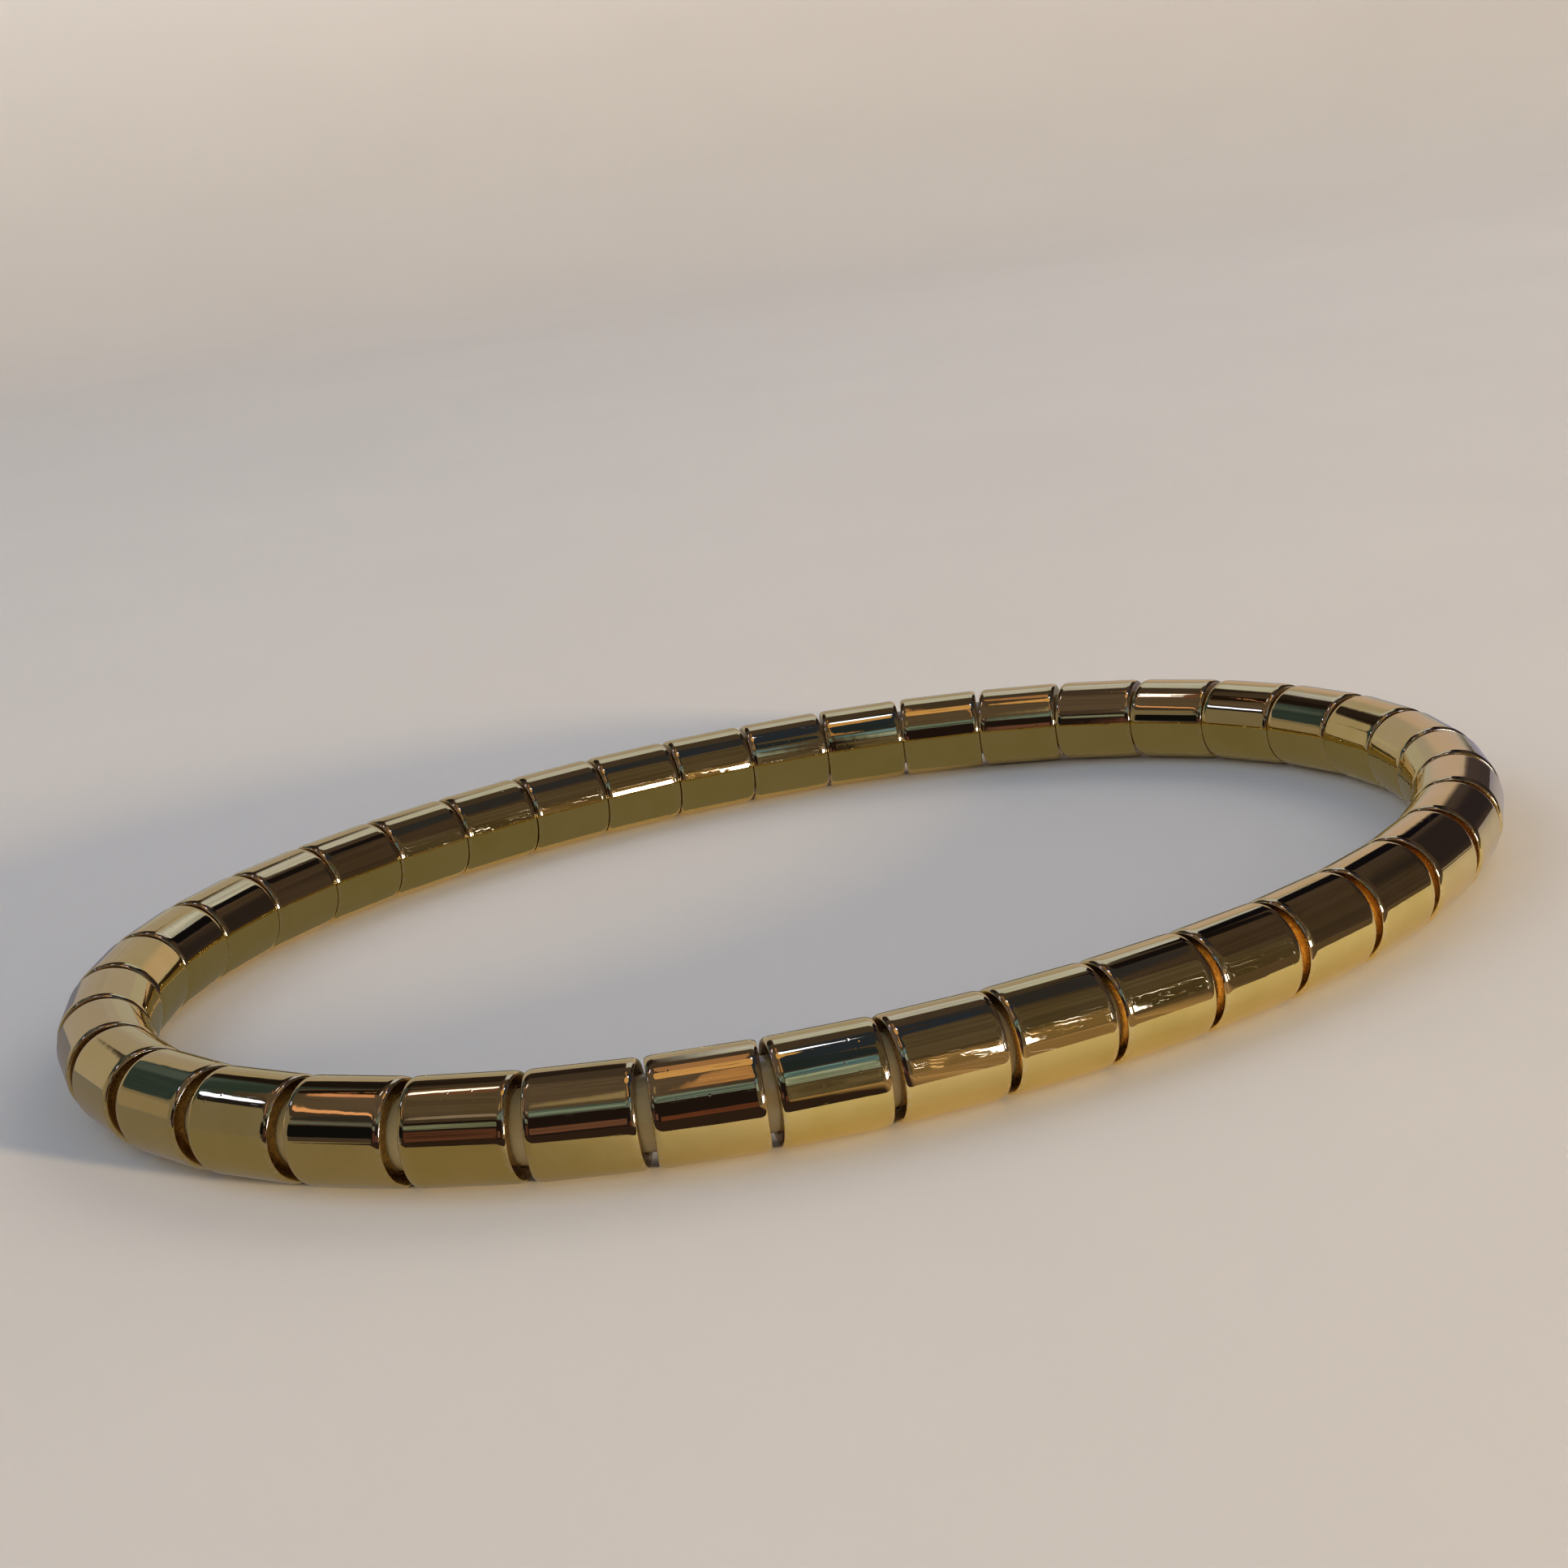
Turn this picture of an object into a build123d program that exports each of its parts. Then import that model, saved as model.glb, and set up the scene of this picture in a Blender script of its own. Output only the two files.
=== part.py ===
from build123d import *
import math
import os

# A stretch bangle: forty identical polished metal tubes threaded end to end on one closed, hollow elastic
# core. The tubes meet at the inside of the ring and open into narrow V gaps at the outside, where the core
# shows. It lies flat, with the tubes' lowest lines at z = 0 and the origin below the centre of the ring.
# The ring is a slight oval: +X is its long axis and the ring mirrors about both the X and the Y axis.
# Lengths are millimetres and angles are degrees.

# Tubes
TUBE_COUNT = 40
TUBE_OD = 4.2
TUBE_LENGTH = 4.2
TUBE_BORE = 2.98
OUTER_EDGE_RADIUS = 0.28
BORE_EDGE_CHAMFER = 0.08

# The ring that the tubes form
SEAM_CLEARANCE = 0.03
OVALNESS = 0.39

# Elastic core, a soft tube with its two ends butted inside one of the metal tubes
CORE_OD = 2.9
CORE_BORE = 1.2
CORE_BEND_LENGTH = 0.5
CORE_BUTT_GAP = 0.04

# Barbed plug that joins the ends of the core
PLUG_TUBE = 8
PLUG_LENGTH = 3.0
PLUG_RIDGE_DIAMETER = 1.16
PLUG_ROOT_DIAMETER = 0.96
PLUG_NOSE_DIAMETER = 0.7
PLUG_RIDGES_PER_END = 3
PLUG_COLLAR_LENGTH = 0.6

# Worked out from the above
TUBE_RADIUS = TUBE_OD / 2
CONTACT_RADIUS = TUBE_RADIUS - OUTER_EDGE_RADIUS
SIDE_LENGTH = TUBE_LENGTH + SEAM_CLEARANCE
MEAN_TURN = 360 / TUBE_COUNT


def heading(angle):
    """The unit vector in the XY plane at this angle from +X."""
    return Vector(math.cos(math.radians(angle)), math.sin(math.radians(angle)), 0)


def seam_turns():
    """How far the ring turns at each seam: most at the two ends of the long axis, least half-way between."""
    return [
        MEAN_TURN * (1 + OVALNESS * math.cos(2 * math.radians(MEAN_TURN * seam)))
        for seam in range(TUBE_COUNT)
    ]


def tube_headings(turns):
    """Which way each tube points, going counter-clockwise from the seam on the +X axis."""
    headings = [90 + turns[0] / 2]
    for turn in turns[1:]:
        headings.append(headings[-1] + turn)
    return headings


def contact_points(headings):
    """The corner at each seam where the two flat end faces come closest, centred on the origin."""
    corners = [Vector(0, 0, 0)]
    for angle in headings[:-1]:
        corners.append(corners[-1] + heading(angle) * SIDE_LENGTH)
    middle = sum(corners, Vector(0, 0, 0)) / TUBE_COUNT
    return [corner - middle for corner in corners]


def axis_corners(corners, headings, turns):
    """Where the axes of neighbouring tubes cross, a little outside each contact point."""
    crossings = []
    for corner, angle, turn in zip(corners, headings, turns):
        outward = heading(angle - turn / 2 - 90)
        reach = CONTACT_RADIUS / math.cos(math.radians(turn / 2))
        crossings.append(corner + outward * reach + Vector(0, 0, TUBE_RADIUS))
    return crossings


def tube_frames(corners, headings):
    """A plane at the middle of each tube, with its normal along the tube and its local X pointing out."""
    frames = []
    for corner, angle in zip(corners, headings):
        along = heading(angle)
        outward = heading(angle - 90)
        centre = corner + along * (SIDE_LENGTH / 2) + outward * CONTACT_RADIUS
        frames.append(Plane(centre + Vector(0, 0, TUBE_RADIUS), x_dir=outward, z_dir=along))
    return frames


def make_tube():
    """One metal tube, centred on the origin along Z: rounded outer rims, flat ends, eased bore edges."""
    tube = Cylinder(TUBE_RADIUS, TUBE_LENGTH)
    tube = fillet(tube.edges().filter_by(GeomType.CIRCLE), OUTER_EDGE_RADIUS)
    tube -= Cylinder(TUBE_BORE / 2, TUBE_LENGTH)
    bore_edges = [
        edge
        for edge in tube.edges().filter_by(GeomType.CIRCLE)
        if math.isclose(edge.radius, TUBE_BORE / 2)
    ]
    return chamfer(bore_edges, BORE_EDGE_CHAMFER)


def core_route(crossings, frames, turns):
    """The core's centre line: straight inside each tube, a small arc at each seam, open at the plug."""
    start = frames[PLUG_TUBE - 1].origin + frames[PLUG_TUBE - 1].z_dir * (CORE_BUTT_GAP / 2)
    end = frames[PLUG_TUBE - 1].origin - frames[PLUG_TUBE - 1].z_dir * (CORE_BUTT_GAP / 2)
    order = [(PLUG_TUBE + step) % TUBE_COUNT for step in range(TUBE_COUNT)]
    radii = [CORE_BEND_LENGTH / math.tan(math.radians(turns[seam] / 2)) for seam in order]
    print("core bend radii", round(min(radii), 2), "to", round(max(radii), 2))
    return FilletPolyline(start, *[crossings[seam] for seam in order], end, radius=radii)


def make_core(route):
    """The elastic core, a hollow cord swept along its route from one side of the butt to the other."""
    section = Circle(CORE_OD / 2) - Circle(CORE_BORE / 2)
    core = sweep(Plane(origin=route @ 0, z_dir=route % 0) * section, path=route)
    expected = section.area * route.length
    print("core volume", round(core.volume, 2), "section x length", round(expected, 2))
    return core


def make_plug():
    """The plug, centred on the origin along Z: a plain collar with sawtooth ridges towards each end."""
    ridge_pitch = (PLUG_LENGTH - PLUG_COLLAR_LENGTH) / 2 / PLUG_RIDGES_PER_END
    half = [(0, 0), (PLUG_RIDGE_DIAMETER / 2, 0)]
    height = PLUG_COLLAR_LENGTH / 2
    for ridge in range(PLUG_RIDGES_PER_END):
        last = ridge == PLUG_RIDGES_PER_END - 1
        tip_diameter = PLUG_NOSE_DIAMETER if last else PLUG_ROOT_DIAMETER
        half.append((PLUG_RIDGE_DIAMETER / 2, height))
        height += ridge_pitch
        half.append((tip_diameter / 2, height))
    half.append((0, height))
    outline = make_face(Polyline(*half, close=True))
    upper = revolve(Plane.XZ * outline, Axis.Z)
    return upper + mirror(upper, about=Plane.XY)


def main():
    os.makedirs("parts", exist_ok=True)
    turns = seam_turns()
    headings = tube_headings(turns)
    corners = contact_points(headings)
    crossings = axis_corners(corners, headings, turns)
    frames = tube_frames(corners, headings)

    tube = make_tube()
    for number, frame in enumerate(frames, start=1):
        export_step(frame * tube, f"parts/tube_{number:02d}.step")

    export_step(make_core(core_route(crossings, frames, turns)), "parts/elastic_core.step")
    export_step(frames[PLUG_TUBE - 1] * make_plug(), "parts/core_plug.step")


main()
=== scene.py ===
import bpy
import bmesh
import math
import random
import numpy as np
from mathutils import Matrix, Vector


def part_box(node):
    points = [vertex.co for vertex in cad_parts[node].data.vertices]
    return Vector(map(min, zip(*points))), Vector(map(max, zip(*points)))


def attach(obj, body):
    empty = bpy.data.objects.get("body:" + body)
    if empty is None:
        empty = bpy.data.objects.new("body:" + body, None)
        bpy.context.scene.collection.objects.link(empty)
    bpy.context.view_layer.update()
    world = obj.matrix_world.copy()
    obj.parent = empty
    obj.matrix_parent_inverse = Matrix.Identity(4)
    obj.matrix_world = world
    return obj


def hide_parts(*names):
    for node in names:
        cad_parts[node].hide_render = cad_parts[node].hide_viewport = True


MM = 0.001
SEED = 40
UP = Vector((0, 0, 1))

# Viewpoint: where the camera looks, its heading clockwise from +Y, how far it looks down, and its roll
LOOK_AT = Vector((0.39, 1.11, 6.76)) * MM
VIEW_HEADING = math.radians(24.63)
VIEW_DROP = math.radians(14.09)
VIEW_DISTANCE = 125.5 * MM
VIEW_ROLL = math.radians(-7.97)
LENS_MM = 62.3
SENSOR_MM = 36
NEAREST_SEEN = 1 * MM

# Tube shape, beyond what the frame gives
TUBE_BORE_RADIUS = 1.49 * MM
FACE_INSET = 0.012 * MM
SHOULDER_LENGTH = 0.34 * MM
SHOULDER_DROP = 0.12 * MM
SHOULDER_STEPS = 14
BORE_EASE = 0.08 * MM
BORE_EASE_STEPS = 4
TUBE_SEGMENTS = 112
TUBE_TILT_MAX = math.radians(0.12)
TUBE_SHIFT_MAX = 0.004 * MM

# Core shape, beyond what the frame gives
CORE_BEND_LENGTH = 0.5 * MM
CORE_START_INSET = 0.4 * MM
CORE_REACH = 1.35 * MM
CORE_NECK_START = 0.05 * MM
CORE_NECK_LENGTH = 0.35 * MM
CORE_NECK_SHARE = 0.955
CORE_SEGMENTS = 64
CORE_BEND_STEPS = 8
CORE_STEP = 0.12 * MM

# Gold: where the worn rims and the rough end faces with their painted shade begin and end, in millimetres
# in a tube's own frame, the roughness of the polish, and the tint of what it mirrors head on
RIM_FROM_MIDDLE = (1.80, 2.06)
DULL_SHADED_FACE_FROM_AXIS = (1.88, 2.0)
POLISH = 0.014
GOLD_TINT = (0.88, 0.68, 0.25)

# Floor: flat round the ring, then swept up into a wall
FLOOR_FLAT_RADIUS = 0.42
FLOOR_SWEEP_RADIUS = 0.35
FLOOR_SWEEP_HEIGHT = 0.75
FLOOR_FLAT_SHARES = (0.02, 0.1, 0.25, 0.5, 0.75, 1.0)
FLOOR_TURNS = 96
FLOOR_SWEEP_STEPS = 12

# Cards on a dome, and rings at floor level, seen only in reflections and through the core. Their bearings
# and elevations are degrees.
DOME_RADIUS = 0.30
LAYER_SHARE = 0.01
CARD_STEP = 4
OUTLINE_STEP = 3
JUST_OFF_FLOOR = 0.03 * MM
TABLE_EDGE_LIFT = 0.08 * MM
UNDER_RING = -1.6 * MM
CLOTH_BEHIND_MARGIN = 6.0 * MM
TABLE_EDGE_MARGIN = 4.2 * MM
INSIDE_SHADE_OVERLAP = 0.9 * MM
SPECKS_PER_DEGREE_ACROSS = 4.4
SPECKS_PER_DEGREE_UP = 0.085
DIM_BETWEEN_SPECKS = 0.6
SPECK_WHITE = (255, 236, 214)

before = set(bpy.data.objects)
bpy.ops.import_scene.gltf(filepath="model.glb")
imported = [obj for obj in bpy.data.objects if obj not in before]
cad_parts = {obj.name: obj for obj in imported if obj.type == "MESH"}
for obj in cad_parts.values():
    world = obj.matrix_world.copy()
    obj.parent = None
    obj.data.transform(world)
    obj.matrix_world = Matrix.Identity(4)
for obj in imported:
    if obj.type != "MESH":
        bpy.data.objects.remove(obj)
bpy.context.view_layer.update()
TUBES = sorted(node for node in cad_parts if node.startswith("tube_"))
CORE_LOW, CORE_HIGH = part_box("elastic_core")
CORE_RADIUS = (CORE_HIGH.z - CORE_LOW.z) / 2


# ---------------------------------------------------------------- the frame's tubes

def tube_axis(node):
    """The heading of a CAD tube, as the level direction that its surface normals favour least."""
    spread = np.zeros((2, 2))
    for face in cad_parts[node].data.polygons:
        normal = np.array(face.normal[:2])
        spread += face.area * np.outer(normal, normal)
    along = np.linalg.eigh(spread)[1][:, 0]
    return Vector((along[0], along[1], 0)).normalized()


def tube_place(node):
    """(centre, heading, half length, radius) of a CAD tube, headings counter-clockwise round the ring."""
    low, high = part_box(node)
    centre = (low + high) / 2
    along = tube_axis(node)
    if UP.cross(centre).dot(along) < 0:
        along.negate()
    reach = max((vertex.co - centre).dot(along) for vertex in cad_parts[node].data.vertices)
    return centre, along, reach - FACE_INSET, (high.z - low.z) / 2


PLACES = [tube_place(node) for node in TUBES]


# ---------------------------------------------------------------- materials

def new_material(name):
    """An empty node material with its output, as (material, nodes, links, shader)."""
    material = bpy.data.materials.new(name)
    material.use_nodes = True
    nodes, links = material.node_tree.nodes, material.node_tree.links
    nodes.clear()
    output = nodes.new("ShaderNodeOutputMaterial")
    shader = nodes.new("ShaderNodeBsdfPrincipled")
    links.new(shader.outputs["BSDF"], output.inputs["Surface"])
    return material, nodes, links, shader


def math_node(nodes, links, operation, first, second=None, third=None):
    node = nodes.new("ShaderNodeMath")
    node.operation = operation
    for socket, value in zip(node.inputs, (first, second, third)):
        if isinstance(value, bpy.types.NodeSocket):
            links.new(value, socket)
        elif value is not None:
            socket.default_value = value
    return node.outputs[0]


def noise(nodes, links, vector, scale, detail=2.0, roughness=0.5):
    node = nodes.new("ShaderNodeTexNoise")
    node.inputs["Scale"].default_value = scale
    node.inputs["Detail"].default_value = detail
    node.inputs["Roughness"].default_value = roughness
    links.new(vector, node.inputs["Vector"])
    return node.outputs["Fac"]


def remap(nodes, links, value, low, high, to_low, to_high, smooth=True):
    node = nodes.new("ShaderNodeMapRange")
    node.interpolation_type = "SMOOTHSTEP" if smooth else "LINEAR"
    for name, number in (("From Min", low), ("From Max", high), ("To Min", to_low), ("To Max", to_high)):
        node.inputs[name].default_value = number
    links.new(value, node.inputs["Value"])
    return node.outputs["Result"]


def mix_colour(nodes, links, factor, first, second):
    node = nodes.new("ShaderNodeMix")
    node.data_type = "RGBA"
    links.new(factor, node.inputs["Factor"])
    for name, value in (("A", first), ("B", second)):
        socket = [s for s in node.inputs if s.name == name and s.type == "RGBA"][0]
        if isinstance(value, bpy.types.NodeSocket):
            links.new(value, socket)
        else:
            socket.default_value = (*value, 1)
    return [s for s in node.outputs if s.type == "RGBA"][0]


def mapping(nodes, links, vector, rotation=(0, 0, 0), scale=(1, 1, 1)):
    node = nodes.new("ShaderNodeMapping")
    node.inputs["Rotation"].default_value = rotation
    node.inputs["Scale"].default_value = scale
    links.new(vector, node.inputs["Vector"])
    return node.outputs["Vector"]


def own_coordinates(nodes, links):
    """(own coordinates in millimetres, those shifted at random for each piece, its random value)."""
    where = nodes.new("ShaderNodeTexCoord")
    metres = nodes.new("ShaderNodeVectorMath")
    metres.operation = "SCALE"
    metres.inputs["Scale"].default_value = 1 / MM
    links.new(where.outputs["Object"], metres.inputs[0])
    info = nodes.new("ShaderNodeObjectInfo")
    shift = math_node(nodes, links, "MULTIPLY", info.outputs["Random"], 91.0)
    moved = nodes.new("ShaderNodeVectorMath")
    links.new(metres.outputs["Vector"], moved.inputs[0])
    links.new(shift, moved.inputs[1])
    return metres.outputs["Vector"], moved.outputs["Vector"], info.outputs["Random"]


def hairlines(nodes, links, vector, turn, fineness):
    """Sparse, long, thin scratches: 1 on a scratch and 0 off it."""
    stretched = mapping(nodes, links, vector, rotation=turn, scale=(fineness, fineness, 0.6))
    lines = noise(nodes, links, stretched, 1.0, detail=0.0)
    off_line = math_node(nodes, links, "ABSOLUTE", math_node(nodes, links, "SUBTRACT", lines, 0.5))
    thin = remap(nodes, links, off_line, 0.0, 0.005, 1.0, 0.0)
    patches = noise(nodes, links, vector, 0.9, detail=1.0)
    return math_node(nodes, links, "MULTIPLY", thin, remap(nodes, links, patches, 0.55, 0.7, 0.0, 1.0))


def pits(nodes, links, vector):
    """Tiny round handling marks, in loose patches: 1 at the middle of a mark and 0 off it."""
    cells = nodes.new("ShaderNodeTexVoronoi")
    cells.inputs["Scale"].default_value = 3.4
    links.new(vector, cells.inputs["Vector"])
    mark = remap(nodes, links, cells.outputs["Distance"], 0.0, 0.26, 1.0, 0.0)
    chosen = nodes.new("ShaderNodeSeparateColor")
    links.new(cells.outputs["Color"], chosen.inputs[0])
    some = math_node(nodes, links, "GREATER_THAN", chosen.outputs[0], 0.55)
    patches = remap(nodes, links, noise(nodes, links, vector, 0.45, detail=2.0), 0.48, 0.62, 0.0, 1.0)
    return math_node(nodes, links, "MULTIPLY", math_node(nodes, links, "MULTIPLY", mark, some), patches)


def rim_wear_mask(nodes, links, local, ragged):
    """Ragged wear along a tube's two outer rims: 1 where worn."""
    parts = nodes.new("ShaderNodeSeparateXYZ")
    links.new(local, parts.inputs[0])
    from_middle = math_node(nodes, links, "ABSOLUTE", parts.outputs["Z"])
    rim = remap(nodes, links, from_middle, *RIM_FROM_MIDDLE, 0.0, 1.0)
    return math_node(nodes, links, "MULTIPLY", rim, remap(nodes, links, ragged, 0.42, 0.66, 0.0, 1.0))


def dull_shaded_face_mask(nodes, links, local, ragged):
    """A tube's end faces and bore, rougher and painted brown as shade for the gaps between tubes: about 1
    there.
    """
    level = nodes.new("ShaderNodeVectorMath")
    level.operation = "MULTIPLY"
    level.inputs[1].default_value = (1, 1, 0)
    links.new(local, level.inputs[0])
    from_axis = nodes.new("ShaderNodeVectorMath")
    from_axis.operation = "LENGTH"
    links.new(level.outputs["Vector"], from_axis.inputs[0])
    face = remap(nodes, links, from_axis.outputs["Value"], *DULL_SHADED_FACE_FROM_AXIS, 1.0, 0.0)
    return math_node(nodes, links, "MULTIPLY", face, remap(nodes, links, ragged, 0.3, 0.7, 0.75, 1.0))


def gold_colour(nodes, links, varied, chance, rim_wear, dull_shaded):
    """Softly mottled yellow, a little different on each tube, paler on worn rims, with painted brown shade
    on the end faces.
    """
    mottle = remap(nodes, links, noise(nodes, links, varied, 0.55, detail=3.0), 0.3, 0.7, 0.0, 1.0)
    body = mix_colour(nodes, links, mottle, (0.84, 0.650, 0.200), (0.90, 0.700, 0.250))
    batch = remap(nodes, links, chance, 0.0, 1.0, 0.0, 0.4, smooth=False)
    body = mix_colour(nodes, links, batch, body, (0.92, 0.70, 0.30))
    worn = mix_colour(nodes, links, rim_wear, body, (0.94, 0.76, 0.42))
    # painted shade: the end faces and bore turn brown, standing for the shade in the gaps between tubes
    return mix_colour(nodes, links, dull_shaded, worn, (0.36, 0.20, 0.07))


def gold_roughness(nodes, links, varied, scratches, rim_wear, dull_shaded):
    """A mirror polish with patches of haze, rougher on scratches and worn rims, and most on the end faces
    and bore.
    """
    clouds = noise(nodes, links, varied, 1.6, detail=5.0, roughness=0.65)
    haze = remap(nodes, links, clouds, 0.4, 0.8, 0.0, 0.03)
    rough = math_node(nodes, links, "ADD", haze, POLISH)
    for mask, added in ((scratches, 0.09), (rim_wear, 0.06), (dull_shaded, 0.3)):
        rough = math_node(nodes, links, "MULTIPLY_ADD", mask, added, rough)
    return rough


def add_bump(nodes, links, shader, height):
    """Bump from a height in millimetres."""
    bump = nodes.new("ShaderNodeBump")
    bump.inputs["Distance"].default_value = MM
    bump.inputs["Strength"].default_value = 1.0
    links.new(height, bump.inputs["Height"])
    links.new(bump.outputs["Normal"], shader.inputs["Normal"])


def gold_material():
    """Mirror-polished yellow gold plating, with hairlines, handling marks, worn rims, and rough end faces
    in painted shade.
    """
    material, nodes, links, shader = new_material("polished_gold")
    local, varied, chance = own_coordinates(nodes, links)
    ragged = noise(nodes, links, varied, 5.0, detail=4.0)
    rim_wear = rim_wear_mask(nodes, links, local, ragged)
    # painted shade on the end faces and bore, which are also rougher there
    dull_shaded = dull_shaded_face_mask(nodes, links, local, ragged)
    first = hairlines(nodes, links, varied, (0.35, 0.2, 0.0), 4.0)
    second = hairlines(nodes, links, varied, (1.2, -0.6, 0.7), 5.5)
    scratches = math_node(nodes, links, "MAXIMUM", first, second)

    colour = gold_colour(nodes, links, varied, chance, rim_wear, dull_shaded)
    links.new(colour, shader.inputs["Base Color"])
    rough = gold_roughness(nodes, links, varied, scratches, rim_wear, dull_shaded)
    links.new(rough, shader.inputs["Roughness"])
    height = math_node(nodes, links, "MULTIPLY", noise(nodes, links, varied, 1.3, detail=1.0), 0.0022)
    height = math_node(nodes, links, "MULTIPLY_ADD", scratches, -0.0002, height)
    height = math_node(nodes, links, "MULTIPLY_ADD", pits(nodes, links, varied), -0.003, height)
    add_bump(nodes, links, shader, height)
    shader.inputs["Metallic"].default_value = 1.0
    return material


def core_material():
    """Pale translucent silicone: glassy skin, cloudy inside."""
    material, nodes, links, shader = new_material("clear_silicone")
    _, varied, _ = own_coordinates(nodes, links)
    cloud = remap(nodes, links, noise(nodes, links, varied, 0.8, detail=3.0), 0.3, 0.7, 0.0, 1.0)
    colour = mix_colour(nodes, links, cloud, (0.80, 0.56, 0.22), (0.90, 0.70, 0.34))
    links.new(colour, shader.inputs["Base Color"])
    skin = remap(nodes, links, noise(nodes, links, varied, 3.0, detail=3.0), 0.3, 0.7, 0.04, 0.11)
    links.new(skin, shader.inputs["Roughness"])
    fine = noise(nodes, links, varied, 6.0, detail=3.0)
    add_bump(nodes, links, shader, math_node(nodes, links, "MULTIPLY", fine, 0.0015))
    shader.inputs["Transmission Weight"].default_value = 0.3
    shader.inputs["IOR"].default_value = 1.41
    shader.inputs["Subsurface Weight"].default_value = 0.35
    shader.inputs["Coat Weight"].default_value = 0.3
    shader.inputs["Coat Roughness"].default_value = 0.04
    shader.inputs["Subsurface Radius"].default_value = (1.0, 0.8, 0.5)
    shader.inputs["Subsurface Scale"].default_value = 0.8 * MM
    return material


def steel_material():
    """Turned stainless steel, for the plug inside the core."""
    material, nodes, links, shader = new_material("turned_steel")
    _, varied, _ = own_coordinates(nodes, links)
    rings = noise(nodes, links, mapping(nodes, links, varied, scale=(9, 9, 9)), 1.0, detail=4.0)
    tone = mix_colour(nodes, links, rings, (0.52, 0.52, 0.53), (0.68, 0.67, 0.66))
    links.new(tone, shader.inputs["Base Color"])
    links.new(remap(nodes, links, rings, 0.3, 0.7, 0.22, 0.4), shader.inputs["Roughness"])
    shader.inputs["Metallic"].default_value = 1.0
    return material


GOLD = gold_material()
SILICONE = core_material()
STEEL = steel_material()


# ---------------------------------------------------------------- meshes

def lathe(name, profile, segments):
    """A surface of revolution about local Z. The profile is a closed outline of (radius, height) pairs."""
    mesh = bpy.data.meshes.new(name)
    turns = [2 * math.pi * k / segments for k in range(segments)]
    points = [(r * math.cos(a), r * math.sin(a), z) for r, z in profile for a in turns]
    count = len(profile)
    faces = []
    for ring in range(count):
        here, above = ring * segments, (ring + 1) % count * segments
        for k in range(segments):
            beside = (k + 1) % segments
            faces.append((here + k, here + beside, above + beside, above + k))
    mesh.from_pydata(points, [], faces)
    return mesh


def loft(name, rings):
    """A closed skin through rings of points, each a list of the same length, with a fan at each end."""
    mesh = bpy.data.meshes.new(name)
    size = len(rings[0])
    points = [point for ring in rings for point in ring]
    faces = []
    for ring in range(len(rings) - 1):
        here, above = ring * size, (ring + 1) * size
        for k in range(size):
            beside = (k + 1) % size
            faces.append((here + k, here + beside, above + beside, above + k))
    faces.append(tuple(reversed(range(size))))
    faces.append(tuple(range((len(rings) - 1) * size, len(rings) * size)))
    mesh.from_pydata(points, [], faces)
    return mesh


def finish_mesh(mesh, material):
    """Outward normals, smooth shading and one material."""
    work = bmesh.new()
    work.from_mesh(mesh)
    bmesh.ops.recalc_face_normals(work, faces=work.faces)
    work.to_mesh(mesh)
    work.free()
    mesh.shade_smooth()
    mesh.materials.append(material)


def add_object(name, mesh, matrix=Matrix.Identity(4)):
    piece = bpy.data.objects.new(name, mesh)
    piece.matrix_world = matrix
    bpy.context.scene.collection.objects.link(piece)
    return piece


# ---------------------------------------------------------------- tubes

def shoulder(radius, half_length):
    """The rounded rim at the +Z end, from the side wall to the flat end face."""
    points = []
    for step in range(SHOULDER_STEPS + 1):
        angle = math.pi / 2 * step / SHOULDER_STEPS
        drop, short = 1 - math.cos(angle), 1 - math.sin(angle)
        points.append((radius - SHOULDER_DROP * drop, half_length - SHOULDER_LENGTH * short))
    return points


def bore_ease(half_length):
    """The eased edge at the +Z end, from the flat end face into the bore."""
    points = []
    for step in range(BORE_EASE_STEPS + 1):
        angle = math.pi / 2 * step / BORE_EASE_STEPS
        r = TUBE_BORE_RADIUS + BORE_EASE * (1 - math.sin(angle))
        points.append((r, half_length - BORE_EASE * (1 - math.cos(angle))))
    return points


def tube_profile(radius, half_length):
    wall = half_length - SHOULDER_LENGTH
    side = [(radius, wall * share) for share in (0.0, 0.5, 0.9)]
    face_out, face_in = radius - SHOULDER_DROP, TUBE_BORE_RADIUS + BORE_EASE
    face = [(face_out + (face_in - face_out) * share, half_length) for share in (0.15, 0.5, 0.85)]
    bore = [(TUBE_BORE_RADIUS, half_length * share) for share in (0.9, 0.45)]
    upper = side + shoulder(radius, half_length) + face + bore_ease(half_length) + bore
    lower = [(r, -z) for r, z in reversed(upper) if z > 0]
    return upper + [(TUBE_BORE_RADIUS, 0.0)] + lower


def tube_matrix(centre, along, tilt, shift):
    """Local Z runs along the tube and local X points out of the ring, with a small tilt and shift."""
    outward = along.cross(UP)
    axes = Matrix((outward, along.cross(outward), along)).transposed().to_4x4()
    small = Matrix.Rotation(tilt[0], 4, "X") @ Matrix.Rotation(tilt[1], 4, "Y")
    return Matrix.Translation(centre + along * shift) @ axes @ small


def make_tubes(chance):
    _, _, half_length, radius = PLACES[0]
    mesh = lathe("gold_tube", tube_profile(radius, half_length), TUBE_SEGMENTS)
    finish_mesh(mesh, GOLD)
    for number, (node, (centre, along, _, _)) in enumerate(zip(TUBES, PLACES), start=1):
        tilt = [chance.uniform(-TUBE_TILT_MAX, TUBE_TILT_MAX) for _ in range(2)]
        shift = chance.uniform(-TUBE_SHIFT_MAX, TUBE_SHIFT_MAX)
        piece = add_object(f"gold_tube_{number:02d}", mesh, tube_matrix(centre, along, tilt, shift))
        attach(piece, node)
        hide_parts(node)


# ---------------------------------------------------------------- core

def crossing(place, after):
    """Where the axes of two neighbouring tubes cross."""
    gap = after[0] - place[0]
    reach = gap.cross(after[1]).z / place[1].cross(after[1]).z
    return place[0] + place[1] * reach


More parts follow.
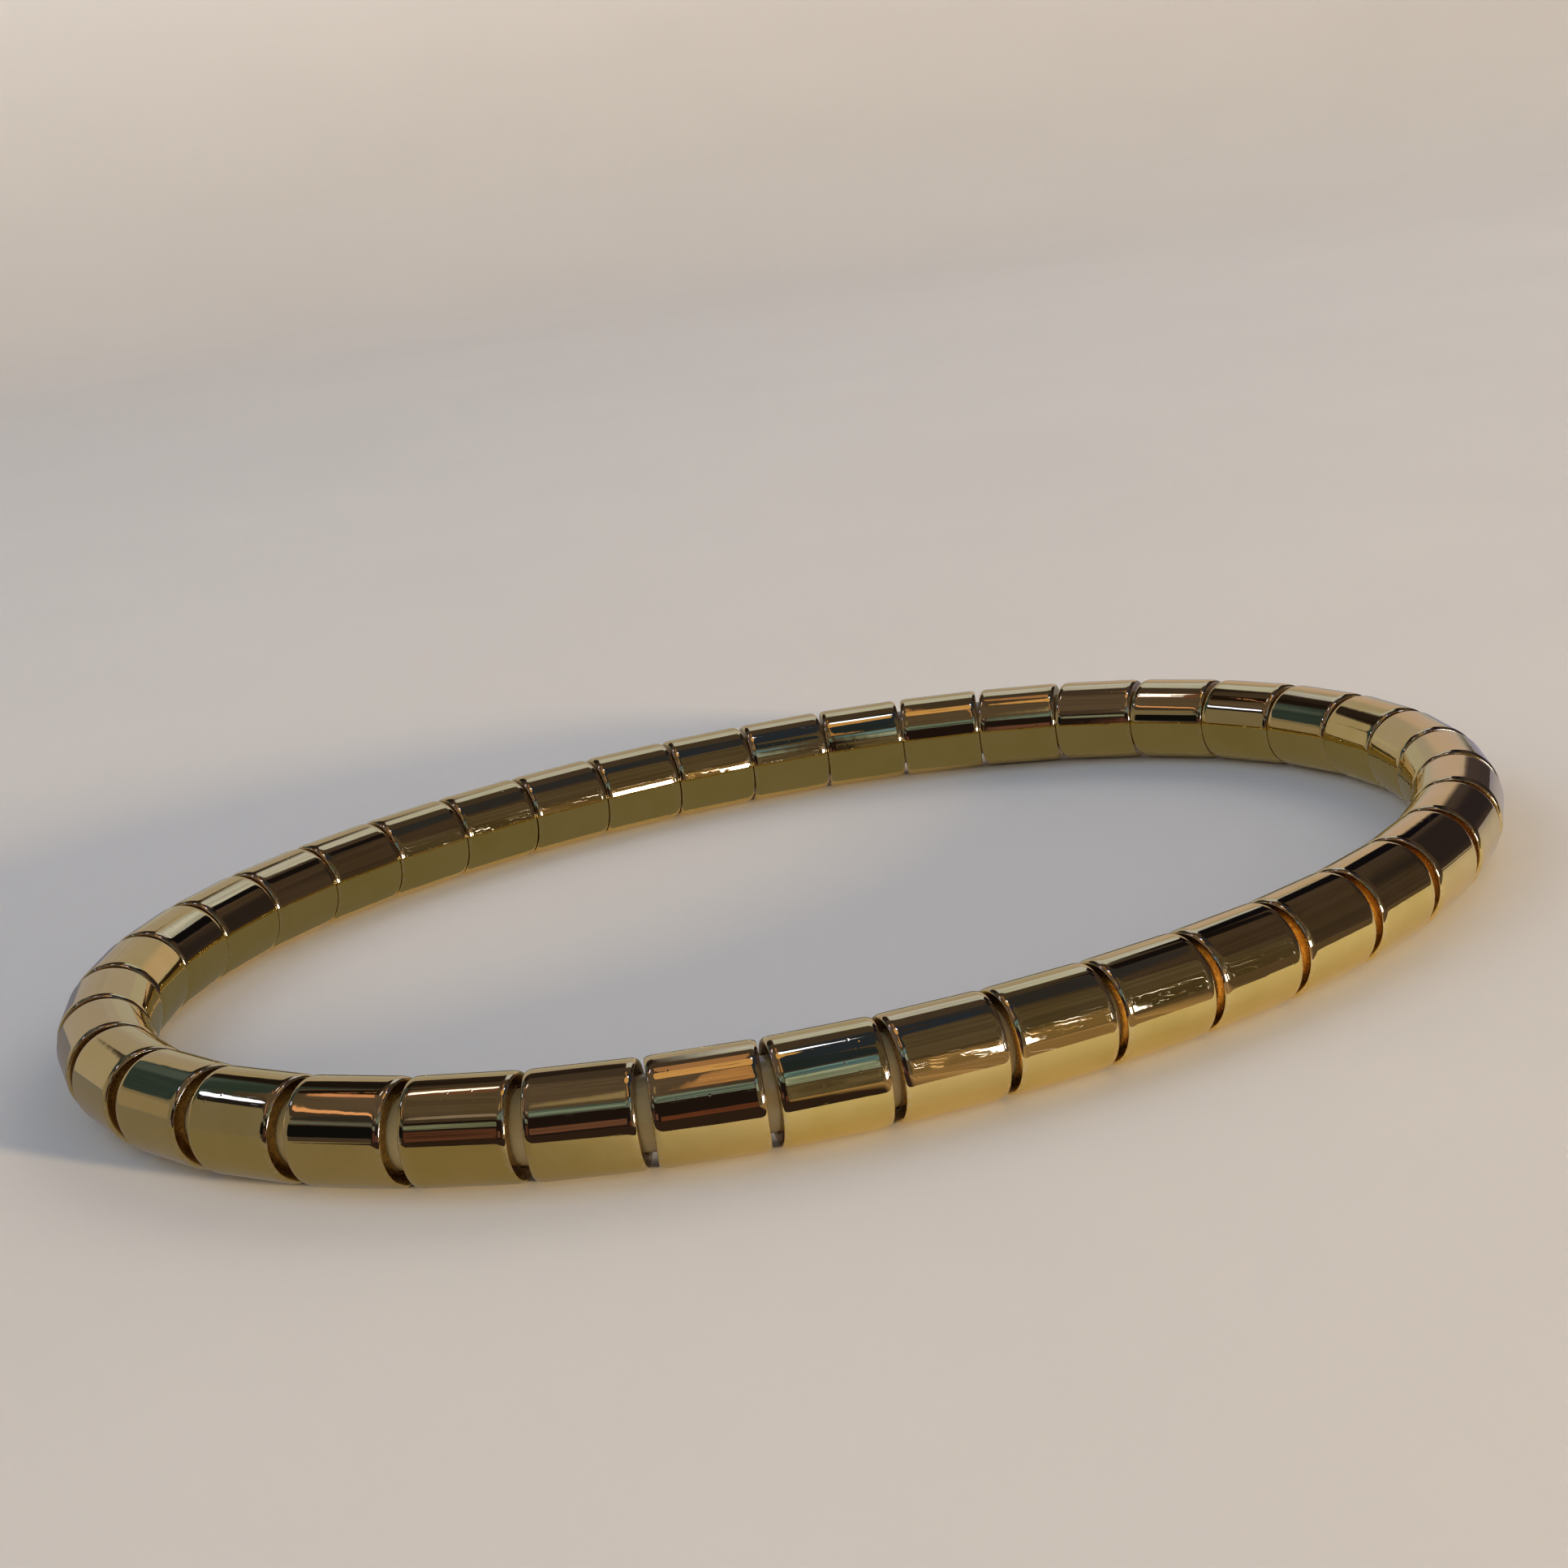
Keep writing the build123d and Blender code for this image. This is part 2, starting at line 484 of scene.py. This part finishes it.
def core_path(place, after):
    """(point, heading, how far past the next tube's face) from inside one tube to inside the next."""
    corner = crossing(place, after)
    half_length = place[2]
    start = place[0] - place[1] * (half_length - CORE_START_INSET)
    end = after[0] - after[1] * (half_length - CORE_REACH)
    turn = place[1].angle(after[1])
    bend = CORE_BEND_LENGTH / math.tan(turn / 2)
    into, out = corner - place[1] * CORE_BEND_LENGTH, corner + after[1] * CORE_BEND_LENGTH
    inward = UP.cross(place[1])
    path = []

    def straight(first, last, heading):
        steps = max(2, round((last - first).length / CORE_STEP))
        for step in range(steps):
            path.append((first.lerp(last, step / steps), heading))

    straight(start, into, place[1])
    for step in range(CORE_BEND_STEPS):
        angle = turn * step / CORE_BEND_STEPS
        heading = place[1] * math.cos(angle) + inward * math.sin(angle)
        point = into + place[1] * (bend * math.sin(angle)) + inward * (bend * (1 - math.cos(angle)))
        path.append((point, heading))
    straight(out, end, after[1])
    path.append((end, after[1]))
    face = after[0] - after[1] * half_length
    return [(point, heading, (point - face).dot(after[1])) for point, heading in path]


def core_radius(past_face):
    """Full size up to the next tube's face, and a little slimmer inside that tube."""
    share = min(1, max(0, (past_face - CORE_NECK_START) / CORE_NECK_LENGTH))
    ease = share * share * (3 - 2 * share)
    return CORE_RADIUS * (1 - (1 - CORE_NECK_SHARE) * ease)


def make_core():
    for number, place in enumerate(PLACES, start=1):
        after = PLACES[number % len(PLACES)]
        rings = []
        for point, heading, past_face in core_path(place, after):
            outward = heading.cross(UP)
            radius = core_radius(past_face)
            turns = [2 * math.pi * k / CORE_SEGMENTS for k in range(CORE_SEGMENTS)]
            rings.append([point + (outward * math.cos(a) + UP * math.sin(a)) * radius for a in turns])
        mesh = loft("core_span", rings)
        finish_mesh(mesh, SILICONE)
        piece = add_object(f"core_span_{number:02d}", mesh)
        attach(piece, TUBES[number - 1])
        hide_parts("elastic_core")


# ---------------------------------------------------------------- stage

def seen(red, green, blue, brightness=1.0, grazing=0.0):
    """The light a card must give off for the gold to show it as this display colour, 0 to 255.

    Gold tints what it mirrors head on, and hardly tints what it mirrors at a grazing angle.
    """
    light = []
    for value, head_on in zip((red, green, blue), GOLD_TINT):
        tint = head_on + (1 - head_on) * grazing
        share = value / 255
        linear = share / 12.92 if share <= 0.04045 else ((share + 0.055) / 1.055) ** 2.4
        light.append(linear / tint * brightness)
    return light


def blend_with_clear(nodes, links, solid, glow, output):
    """Where the solid value is 1 the glow shows, and where it is 0 nothing does."""
    clear = nodes.new("ShaderNodeBsdfTransparent")
    blend = nodes.new("ShaderNodeMixShader")
    links.new(solid, blend.inputs[0])
    links.new(clear.outputs[0], blend.inputs[1])
    links.new(glow.outputs[0], blend.inputs[2])
    links.new(blend.outputs[0], output.inputs["Surface"])


def specks(nodes, links, vector):
    """Round specks of uneven brightness: 0 off them, and up to 1 at the middle of the brightest."""
    cells = nodes.new("ShaderNodeTexVoronoi")
    cells.inputs["Scale"].default_value = 1.0
    links.new(vector, cells.inputs["Vector"])
    dot = remap(nodes, links, cells.outputs["Distance"], 0.08, 0.42, 1.0, 0.0)
    chosen = nodes.new("ShaderNodeSeparateColor")
    links.new(cells.outputs["Color"], chosen.inputs[0])
    brightness = remap(nodes, links, chosen.outputs[0], 0.3, 1.0, 0.0, 1.0)
    return math_node(nodes, links, "MULTIPLY", dot, brightness)


def add_streaks(nodes, links, uv, glow, strength, scale):
    """Uneven brightness, in streaks that run the way in which the scale is smaller."""
    lines = noise(nodes, links, mapping(nodes, links, uv, scale=scale), 1.0, detail=4.0)
    links.new(remap(nodes, links, lines, 0.36, 0.64, 1 - strength, 1 + strength), glow.inputs["Strength"])


def add_glitter(nodes, links, uv, glow, light, strength, span):
    """Bright specks, whiter where brightest, on a card of this many degrees each way."""
    scale = (SPECKS_PER_DEGREE_ACROSS * span[0], SPECKS_PER_DEGREE_UP * span[1], 1)
    bright = specks(nodes, links, mapping(nodes, links, uv, scale=scale))
    power = remap(nodes, links, bright, 0.0, 1.0, DIM_BETWEEN_SPECKS, strength, smooth=False)
    links.new(power, glow.inputs["Strength"])
    white = remap(nodes, links, bright, 0.3, 0.9, 0.0, 0.6)
    links.new(mix_colour(nodes, links, white, light, seen(*SPECK_WHITE)), glow.inputs["Color"])


def fade_across(nodes, links, uv, glow, lights):
    """Fades from the first light to the second. If one is None, the result is how solid the glow is."""
    across = nodes.new("ShaderNodeSeparateXYZ")
    links.new(uv, across.inputs[0])
    if None not in lights:
        links.new(mix_colour(nodes, links, across.outputs["X"], *lights), glow.inputs["Color"])
        return None
    first, last = (0.0, 1.0) if lights[0] is None else (1.0, 0.0)
    return remap(nodes, links, across.outputs["X"], 0.0, 1.0, first, last)


def soft_edges(nodes, links, uv, soft):
    """1 in the middle of a card, falling to 0 over its outer share each way."""
    parts = nodes.new("ShaderNodeSeparateXYZ")
    links.new(uv, parts.inputs[0])
    sides = []
    for axis in ("X", "Y"):
        offset = math_node(nodes, links, "SUBTRACT", parts.outputs[axis], 0.5)
        centred = math_node(nodes, links, "ABSOLUTE", offset)
        sides.append(remap(nodes, links, centred, 0.5 - soft, 0.5, 1.0, 0.0))
    return math_node(nodes, links, "MULTIPLY", *sides)


def glow_material(
    name, light, soft=0.0, streaks=0.0, streak_scale=(3, 14, 1), glitter=0.0, span=(1, 1), fade=None
):
    """A glowing card: even, faded from one side to the other or at its edges, streaked or glittering."""
    material = bpy.data.materials.new(name)
    material.use_nodes = True
    nodes, links = material.node_tree.nodes, material.node_tree.links
    nodes.clear()
    output = nodes.new("ShaderNodeOutputMaterial")
    glow = nodes.new("ShaderNodeEmission")
    glow.inputs["Color"].default_value = (*light, 1)
    uv = nodes.new("ShaderNodeTexCoord").outputs["UV"]
    solid = None
    if fade:
        solid = fade_across(nodes, links, uv, glow, fade)
    if streaks:
        add_streaks(nodes, links, uv, glow, streaks, streak_scale)
    if glitter:
        add_glitter(nodes, links, uv, glow, light, glitter, span)
    if soft:
        solid = soft_edges(nodes, links, uv, soft)
    if solid is None:
        links.new(glow.outputs[0], output.inputs["Surface"])
    else:
        blend_with_clear(nodes, links, solid, glow, output)
    return material


def for_reflections_only(piece):
    """Seen in reflections and through the core, but not by the camera or the floor, and casts no shadow."""
    piece.visible_camera = False
    piece.visible_diffuse = False
    piece.visible_shadow = False
    piece.visible_volume_scatter = False


def sky_point(bearing, elevation, radius):
    """A point of the dome. Bearing is clockwise from +Y seen from above; both are degrees."""
    b, e = math.radians(bearing), math.radians(elevation)
    return Vector((math.sin(b) * math.cos(e), math.cos(b) * math.cos(e), math.sin(e))) * radius


def card(name, bearings, elevations, light, layer=1, slant=0, **look):
    """A curved card on the dome between two bearings and two elevations. The slant raises its far side.

    A higher layer is further in, so it hides the ones below. The look is passed to glow_material.
    """
    steps_across = max(2, math.ceil(abs(bearings[1] - bearings[0]) / CARD_STEP))
    steps_up = max(2, math.ceil(abs(elevations[1] - elevations[0]) / CARD_STEP))
    radius = DOME_RADIUS * (1 - LAYER_SHARE * layer)
    points, uvs, faces = [], [], []
    for j in range(steps_up + 1):
        for i in range(steps_across + 1):
            u, v = i / steps_across, j / steps_up
            bearing = bearings[0] + (bearings[1] - bearings[0]) * u
            elevation = elevations[0] + (elevations[1] - elevations[0]) * v + slant * u
            points.append(sky_point(bearing, elevation, radius))
            uvs.append((u, v))
    for j in range(steps_up):
        for i in range(steps_across):
            low, high = j * (steps_across + 1) + i, (j + 1) * (steps_across + 1) + i
            faces.append((low, low + 1, high + 1, high))
    mesh = bpy.data.meshes.new(name)
    mesh.from_pydata(points, [], faces)
    layer_uv = mesh.uv_layers.new(name="UVMap")
    for loop in mesh.loops:
        layer_uv.data[loop.index].uv = uvs[loop.vertex_index]
    span = (abs(bearings[1] - bearings[0]), abs(elevations[1] - elevations[0]))
    mesh.materials.append(glow_material(name, light, span=span, **look))
    for_reflections_only(add_object(name, mesh))


def make_room():
    """What the polished gold mirrors: a dim room, pale cloth behind, windows high up and a low warm sun."""
    mesh = bpy.data.meshes.new("dim_room")
    work = bmesh.new()
    bmesh.ops.create_uvsphere(work, u_segments=64, v_segments=32, radius=DOME_RADIUS)
    work.to_mesh(mesh)
    work.free()
    mesh.materials.append(glow_material("dim_room", seen(62, 48, 32)))
    for_reflections_only(add_object("dim_room", mesh))

    # Behind the ring: pale cloth, black above it on both sides, and a light patch between
    card("cloth_behind_low", (-8, 54), (-2, 16), seen(160, 150, 128, grazing=0.45), soft=0.04, layer=2)
    card("cloth_behind", (-8, 50), (12, 34), seen(153, 135, 107, grazing=0.2), soft=0.08, layer=3)
    card("cloth_behind_right", (30, 56), (2, 27), seen(176, 148, 118, grazing=0.25), soft=0.25, layer=4)
    card(
        "light_patch", (18, 50), (32, 56),
        seen(172, 166, 156, grazing=0.15), soft=0.14, layer=4, slant=-6, streaks=0.2
    )
    card("black_behind", (-12, 19), (31, 54), seen(38, 27, 17), soft=0.1, layer=5, slant=-3)
    card("black_right", (45, 60), (21, 47), seen(14, 10, 9), soft=0.12, layer=6)
    card("black_right_high", (54, 76), (44, 58), seen(20, 14, 11), soft=0.14, layer=6)

    # Right: a dim brown wall, darker low down, and near black towards the top
    card("wall_right", (60, 130), (-2, 62), seen(60, 45, 29), soft=0.04, streaks=0.15)
    card("wall_right_dark", (58, 102), (-2, 38), seen(38, 29, 22), soft=0.25, layer=2)
    card("wall_top_right", (56, 124), (54, 80), seen(42, 38, 33), soft=0.15, layer=3)

    # The sun, low at the front right, and the glitter and haze round it
    card("olive_front_right", (124, 182), (-2, 72), seen(75, 60, 36), soft=0.08, streaks=0.2, layer=2)
    card("glitter", (128, 186), (-6, 30), seen(84, 66, 36), soft=0.15, layer=3, glitter=9.0)
    card("glitter_bright", (150, 181), (-10, 25), seen(140, 106, 56), soft=0.2, layer=4, glitter=10.0)
    card("sun_haze", (160, 172), (-2, 14), seen(255, 200, 120, 1.3), soft=0.5, layer=5)
    card("sun", (160.3, 171.7), (2, 13), seen(255, 240, 205, 9.0), soft=0.05, layer=6)
    card("sun_glint", (148.0, 150.4), (1, 13), seen(255, 240, 205, 9.0), soft=0.35, layer=6)

    # Front: olive, silver and teal, with black above and a white window near the zenith
    card(
        "olive_front", (181, 196), (-2, 26),
        seen(84, 68, 41), soft=0.1, layer=3, streaks=0.3, streak_scale=(7, 3, 1)
    )
    card(
        "silver_front", (180, 195), (25, 42),
        seen(132, 134, 106), soft=0.2, layer=4, streaks=0.5, streak_scale=(2, 7, 1)
    )
    card(
        "teal_front", (177, 195), (40, 51),
        seen(88, 110, 104), soft=0.2, layer=4, streaks=0.6, streak_scale=(2, 7, 1)
    )
    card("black_front", (168, 197), (51, 80), seen(32, 36, 34), soft=0.08, layer=3)
    card("black_top", (40, 200), (70, 84), seen(34, 38, 40), soft=0.08, layer=3)
    card("white_top", (42, 78), (78.5, 82.5), seen(250, 248, 250, 2.2), soft=0.2, layer=5)
    card("copper_front", (190, 205), (52, 82), seen(160, 110, 58), soft=0.1, layer=5, streaks=0.2)
    card("copper_top", (-180, 180), (82, 89.5), seen(188, 136, 70), layer=4, streaks=0.15)
    card("copper_behind", (8, 28), (66, 84), seen(150, 103, 58), soft=0.15, layer=5)

    # Front left: a near-black wall with brown panels, a silver line over it, brown ceiling above
    card("wall_front_left", (193, 252), (-2, 34), seen(28, 18, 12), soft=0.04, layer=2)
    card("panel_front", (196, 206), (-2, 9), seen(88, 46, 24), soft=0.15, layer=3, streaks=0.3)
    card("panel_left", (214, 229), (2, 15), seen(92, 58, 38), soft=0.15, layer=3, streaks=0.3)
    card("panel_far_left", (232, 246), (0, 20), seen(76, 44, 28), soft=0.15, layer=3, streaks=0.4)
    card(
        "silver_line", (195, 232), (33, 47),
        seen(92, 100, 80), soft=0.15, layer=4, streaks=0.7, streak_scale=(2, 8, 1)
    )
    card(
        "silver_line_left", (231, 251), (21, 30),
        seen(104, 102, 76), soft=0.2, layer=4, streaks=0.5, streak_scale=(2, 6, 1)
    )
    card("tan_line_left", (231, 250), (38, 44), seen(126, 106, 82), soft=0.2, layer=4)
    card("ceiling_left", (200, 354), (44, 82), seen(80, 63, 42), soft=0.05, layer=2, streaks=0.15)
    card("ceiling_light", (214, 234), (49, 68), seen(130, 108, 68), soft=0.3, layer=3)
    card("lamp_frame", (312, 354), (60, 69.5), seen(100, 62, 38), soft=0.2, layer=4)
    card("lamp", (322, 348), (62.8, 65.8), seen(252, 238, 216, 1.5), soft=0.2, layer=6)

    # Left: a black bar, copper lines, grey-brown cloth with a white streak, and a dark green patch
    card("black_bar", (250, 272), (6, 25), seen(14, 12, 9), soft=0.07, layer=4)
    card("silver_bar", (252, 271), (25.5, 31), seen(86, 84, 66), soft=0.2, layer=4, streaks=0.4)
    card("dark_bar", (252, 272), (31, 42), seen(44, 38, 28), soft=0.15, layer=3)
    card("copper_line", (258, 292), (35.5, 38), seen(214, 146, 88), soft=0.2, layer=6, slant=14)
    card("copper_line_high", (314, 346), (56, 58.5), seen(196, 128, 78), soft=0.2, layer=6, slant=-3)
    card("cloth_left", (266, 332), (-2, 37), seen(110, 93, 60), soft=0.04, layer=1)
    card("cloth_left_light", (294, 326), (-2, 19), seen(128, 107, 67), soft=0.2, layer=2)
    card("dark_edge_left", (294, 308), (35.5, 40.5), seen(30, 25, 20), soft=0.15, layer=5)
    card("white_streak", (301, 313), (40, 43), seen(246, 242, 250, 1.6), soft=0.2, layer=6)
    card("green_patch", (307, 352), (18.5, 43), seen(42, 49, 38), soft=0.04, layer=4, slant=9, streaks=0.1)
    card("green_patch_light", (330, 350), (29, 44), seen(66, 71, 56), soft=0.3, layer=5)
    card("black_left_high", (326, 352), (51, 59), seen(28, 18, 9), soft=0.15, layer=6)
    card("black_left", (350, 366), (33, 50), seen(26, 19, 11), soft=0.15, layer=6, slant=-2)
    card(
        "cloth_behind_left_high", (346, 366), (15, 32),
        seen(148, 128, 93, grazing=0.1), soft=0.08, layer=5
    )
    card("cloth_behind_left", (322, 363), (-2, 24), seen(149, 128, 88, grazing=0.05), soft=0.05, layer=3)


def floor_material():
    """Matt pale cloth-grey, glowing higher up with painted light, cool left and warm right, to keep the
    backdrop light.
    """
    material, nodes, links, shader = new_material("pale_floor")
    where = nodes.new("ShaderNodeTexCoord")
    tone = noise(nodes, links, where.outputs["Object"], 30.0, detail=3.0)
    colour = mix_colour(nodes, links, tone, (0.66, 0.65, 0.64), (0.70, 0.69, 0.68))
    links.new(colour, shader.inputs["Base Color"])
    parts = nodes.new("ShaderNodeSeparateXYZ")
    links.new(where.outputs["Object"], parts.inputs[0])
    across = remap(nodes, links, parts.outputs["X"], -0.35, 0.5, 0.0, 1.0)
    # painted light: the backdrop glows cool blue on the left and warm on the right, more the higher it
    # rises
    glow = mix_colour(nodes, links, across, (0.30, 0.37, 0.46), (0.50, 0.44, 0.40))
    links.new(glow, shader.inputs["Emission Color"])
    higher = remap(nodes, links, parts.outputs["Z"], 0.0, 0.2, 0.0, 0.75)
    links.new(higher, shader.inputs["Emission Strength"])
    shader.inputs["Roughness"].default_value = 0.85
    shader.inputs["Specular IOR Level"].default_value = 0.2
    return material


def ring_outline(bearings):
    """Points on the ring's outline between two bearings, level with the floor."""
    sides = [(along.cross(UP), centre + along.cross(UP) * radius) for centre, along, _, radius in PLACES]
    points = []
    for k in range(math.ceil((bearings[1] - bearings[0]) / OUTLINE_STEP) + 1):
        way = sky_point(min(bearings[0] + OUTLINE_STEP * k, bearings[1]), 0, 1)
        reach = min(spot.dot(out) / way.dot(out) for out, spot in sides if way.dot(out) > 0)
        points.append(way * reach)
    return points


def surround(name, bearings, margins, lights, lift=JUST_OFF_FLOOR, glitter=0.0):
    """What the gold mirrors instead of part of the floor, outwards from a margin past the ring's outline.

    A margin below zero starts under the ring. The margin and the light each go from their first value to
    their second between the two bearings, and a light of None is clear.
    """
    points = ring_outline(bearings)
    shares = [k / (len(points) - 1) for k in range(len(points))]
    inner = [
        point + point.normalized() * margins[0] * (margins[1] / margins[0]) ** share
        for point, share in zip(points, shares)
    ]
    outer = [point.normalized() * DOME_RADIUS for point in points]
    size = len(inner)
    faces = [(k, size + k, size + k + 1, k + 1) for k in range(size - 1)]
    mesh = bpy.data.meshes.new(name)
    mesh.from_pydata([point + UP * lift for point in inner + outer], [], faces)
    layer_uv = mesh.uv_layers.new(name="UVMap")
    for loop in mesh.loops:
        layer_uv.data[loop.index].uv = (shares[loop.vertex_index % size], 0)
    span = (bearings[1] - bearings[0], 1)
    fade = None if lights[0] == lights[1] else lights
    light = lights[0] or lights[1]
    mesh.materials.append(glow_material(name, light, glitter=glitter, span=span, fade=fade))
    for_reflections_only(add_object(name, mesh))


def make_floor():
    """A pale floor that sweeps up into a wall all round."""
    profile = [(FLOOR_FLAT_RADIUS * share, 0.0) for share in FLOOR_FLAT_SHARES]
    for step in range(1, FLOOR_SWEEP_STEPS + 1):
        angle = math.pi / 2 * step / FLOOR_SWEEP_STEPS
        out, rise = FLOOR_SWEEP_RADIUS * math.sin(angle), FLOOR_SWEEP_RADIUS * (1 - math.cos(angle))
        profile.append((FLOOR_FLAT_RADIUS + out, rise))
    profile.append((FLOOR_FLAT_RADIUS + FLOOR_SWEEP_RADIUS, FLOOR_SWEEP_HEIGHT))
    turns = [2 * math.pi * k / FLOOR_TURNS for k in range(FLOOR_TURNS)]
    points = [(0, 0, 0)] + [(r * math.cos(a), r * math.sin(a), z) for r, z in profile for a in turns]
    after = [(k + 1) % FLOOR_TURNS for k in range(FLOOR_TURNS)]
    faces = [(0, 1 + k, 1 + after[k]) for k in range(FLOOR_TURNS)]
    for ring in range(len(profile) - 1):
        low, high = 1 + ring * FLOOR_TURNS, 1 + (ring + 1) * FLOOR_TURNS
        faces += [(low + k, high + k, high + after[k], low + after[k]) for k in range(FLOOR_TURNS)]
    mesh = bpy.data.meshes.new("floor")
    mesh.from_pydata(points, [], faces)
    mesh.shade_smooth()
    mesh.materials.append(floor_material())
    add_object("floor", mesh)


def make_surrounds():
    """What the gold mirrors low down: the cloth on three sides, dimmed with painted shade, and at the front
    the edge of a table.
    """
    under, clear = (UNDER_RING, UNDER_RING), (CLOTH_BEHIND_MARGIN, CLOTH_BEHIND_MARGIN)
    dim_left, dim_far_left = seen(118, 96, 52), seen(104, 95, 70)
    dim_right, behind = seen(128, 113, 86), seen(150, 144, 124, grazing=0.5)
    # painted shade: these sheets darken the floor round the ring as the gold mirrors it
    surround("cloth_dim_far_left", (230, 336), under, (dim_left, dim_far_left))
    surround("cloth_dim_left", (203, 230), under, (None, dim_left))
    surround("cloth_dim_right", (60, 150), under, (dim_right, None))
    surround("cloth_dim_left_corner", (-24, 0), (0.05 * MM, CLOTH_BEHIND_MARGIN), (dim_far_left, behind))
    surround("cloth_dim_behind", (0, 60), clear, (behind, behind))

    near, lift = TABLE_EDGE_MARGIN, TABLE_EDGE_LIFT
    bright, dark, brown = seen(158, 118, 64), seen(42, 28, 17), seen(80, 60, 35)
    surround("edge_glitter", (170, 189), (near, near), (bright, bright), lift, glitter=3.0)
    surround("edge_glitter_end", (189, 197), (near, near), (bright, dark), lift)
    surround("edge_near_glitter", (159, 170), (4.8 * MM, near), (brown, bright), lift)
    surround("edge_front", (197, 211), (near, 4.4 * MM), (dark, dark), lift)
    surround("edge_front_left", (211, 254), (4.4 * MM, 40 * MM), (dark, dark), lift)
    surround("edge_front_right", (98, 159), (60 * MM, 4.8 * MM), (brown, brown), lift)


def make_inside_shade():
    """What the inner sides of the tubes mirror: the floor inside the ring, in their shade."""
    across = 2 * PLACES[0][3] - INSIDE_SHADE_OVERLAP
    middle = UP * JUST_OFF_FLOOR
    rim = [point - point.normalized() * across + middle for point in ring_outline((0, 360 - OUTLINE_STEP))]
    faces = [(0, 1 + k, 1 + (k + 1) % len(rim)) for k in range(len(rim))]
    mesh = bpy.data.meshes.new("inside_shade")
    mesh.from_pydata([middle] + rim, [], faces)
    mesh.materials.append(glow_material("inside_shade", seen(100, 85, 46)))
    for_reflections_only(add_object("inside_shade", mesh))


def area_light(name, bearing, elevation, distance, size, power, colour):
    light = bpy.data.lights.new(name, "AREA")
    light.shape = "DISK"
    light.size = size
    light.energy = power
    light.color = colour
    lamp = bpy.data.objects.new(name, light)
    lamp.location = sky_point(bearing, elevation, distance)
    lamp.rotation_mode = "QUATERNION"
    lamp.rotation_quaternion = (-lamp.location).to_track_quat("-Z", "Y")
    lamp.visible_glossy = False
    bpy.context.scene.collection.objects.link(lamp)


def make_lights():
    """A low warm sun, cool soft light from above and a faint glow from behind. Powers are in watts."""
    area_light(
        "low_sun", bearing=157, elevation=7, distance=0.56, size=0.045, power=6.6, colour=(1.0, 0.72, 0.38)
    )
    area_light(
        "sky_fill", bearing=-60, elevation=50, distance=0.5, size=0.35, power=0.4, colour=(0.66, 0.80, 1.0)
    )
    area_light(
        "back_glow", bearing=60, elevation=40, distance=0.5, size=0.30, power=0.35, colour=(1.0, 0.88, 0.78)
    )
    world = bpy.data.worlds.new("room_light")
    world.use_nodes = True
    background = world.node_tree.nodes["Background"]
    background.inputs["Color"].default_value = (0.43, 0.56, 0.74, 1)
    background.inputs["Strength"].default_value = 0.27
    bpy.context.scene.world = world


def make_camera():
    camera = bpy.data.cameras.new("camera")
    camera.lens = LENS_MM
    camera.sensor_width = SENSOR_MM
    camera.clip_start = NEAREST_SEEN
    holder = bpy.data.objects.new("camera", camera)
    bpy.context.scene.collection.objects.link(holder)
    look = Vector((
        math.sin(VIEW_HEADING) * math.cos(VIEW_DROP),
        math.cos(VIEW_HEADING) * math.cos(VIEW_DROP),
        -math.sin(VIEW_DROP),
    ))
    holder.location = LOOK_AT - look * VIEW_DISTANCE
    holder.rotation_mode = "QUATERNION"
    roll = Matrix.Rotation(VIEW_ROLL, 3, "Z").to_quaternion()
    holder.rotation_quaternion = look.to_track_quat("-Z", "Y") @ roll
    bpy.context.scene.camera = holder


make_camera()
make_tubes(random.Random(SEED))
make_core()
plug_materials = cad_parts["core_plug"].data.materials
plug_materials.clear()
plug_materials.append(STEEL)
make_room()
make_floor()
make_surrounds()
make_inside_shade()
make_lights()
bpy.context.scene.view_settings.view_transform = "Standard"

bpy.context.view_layer.update()
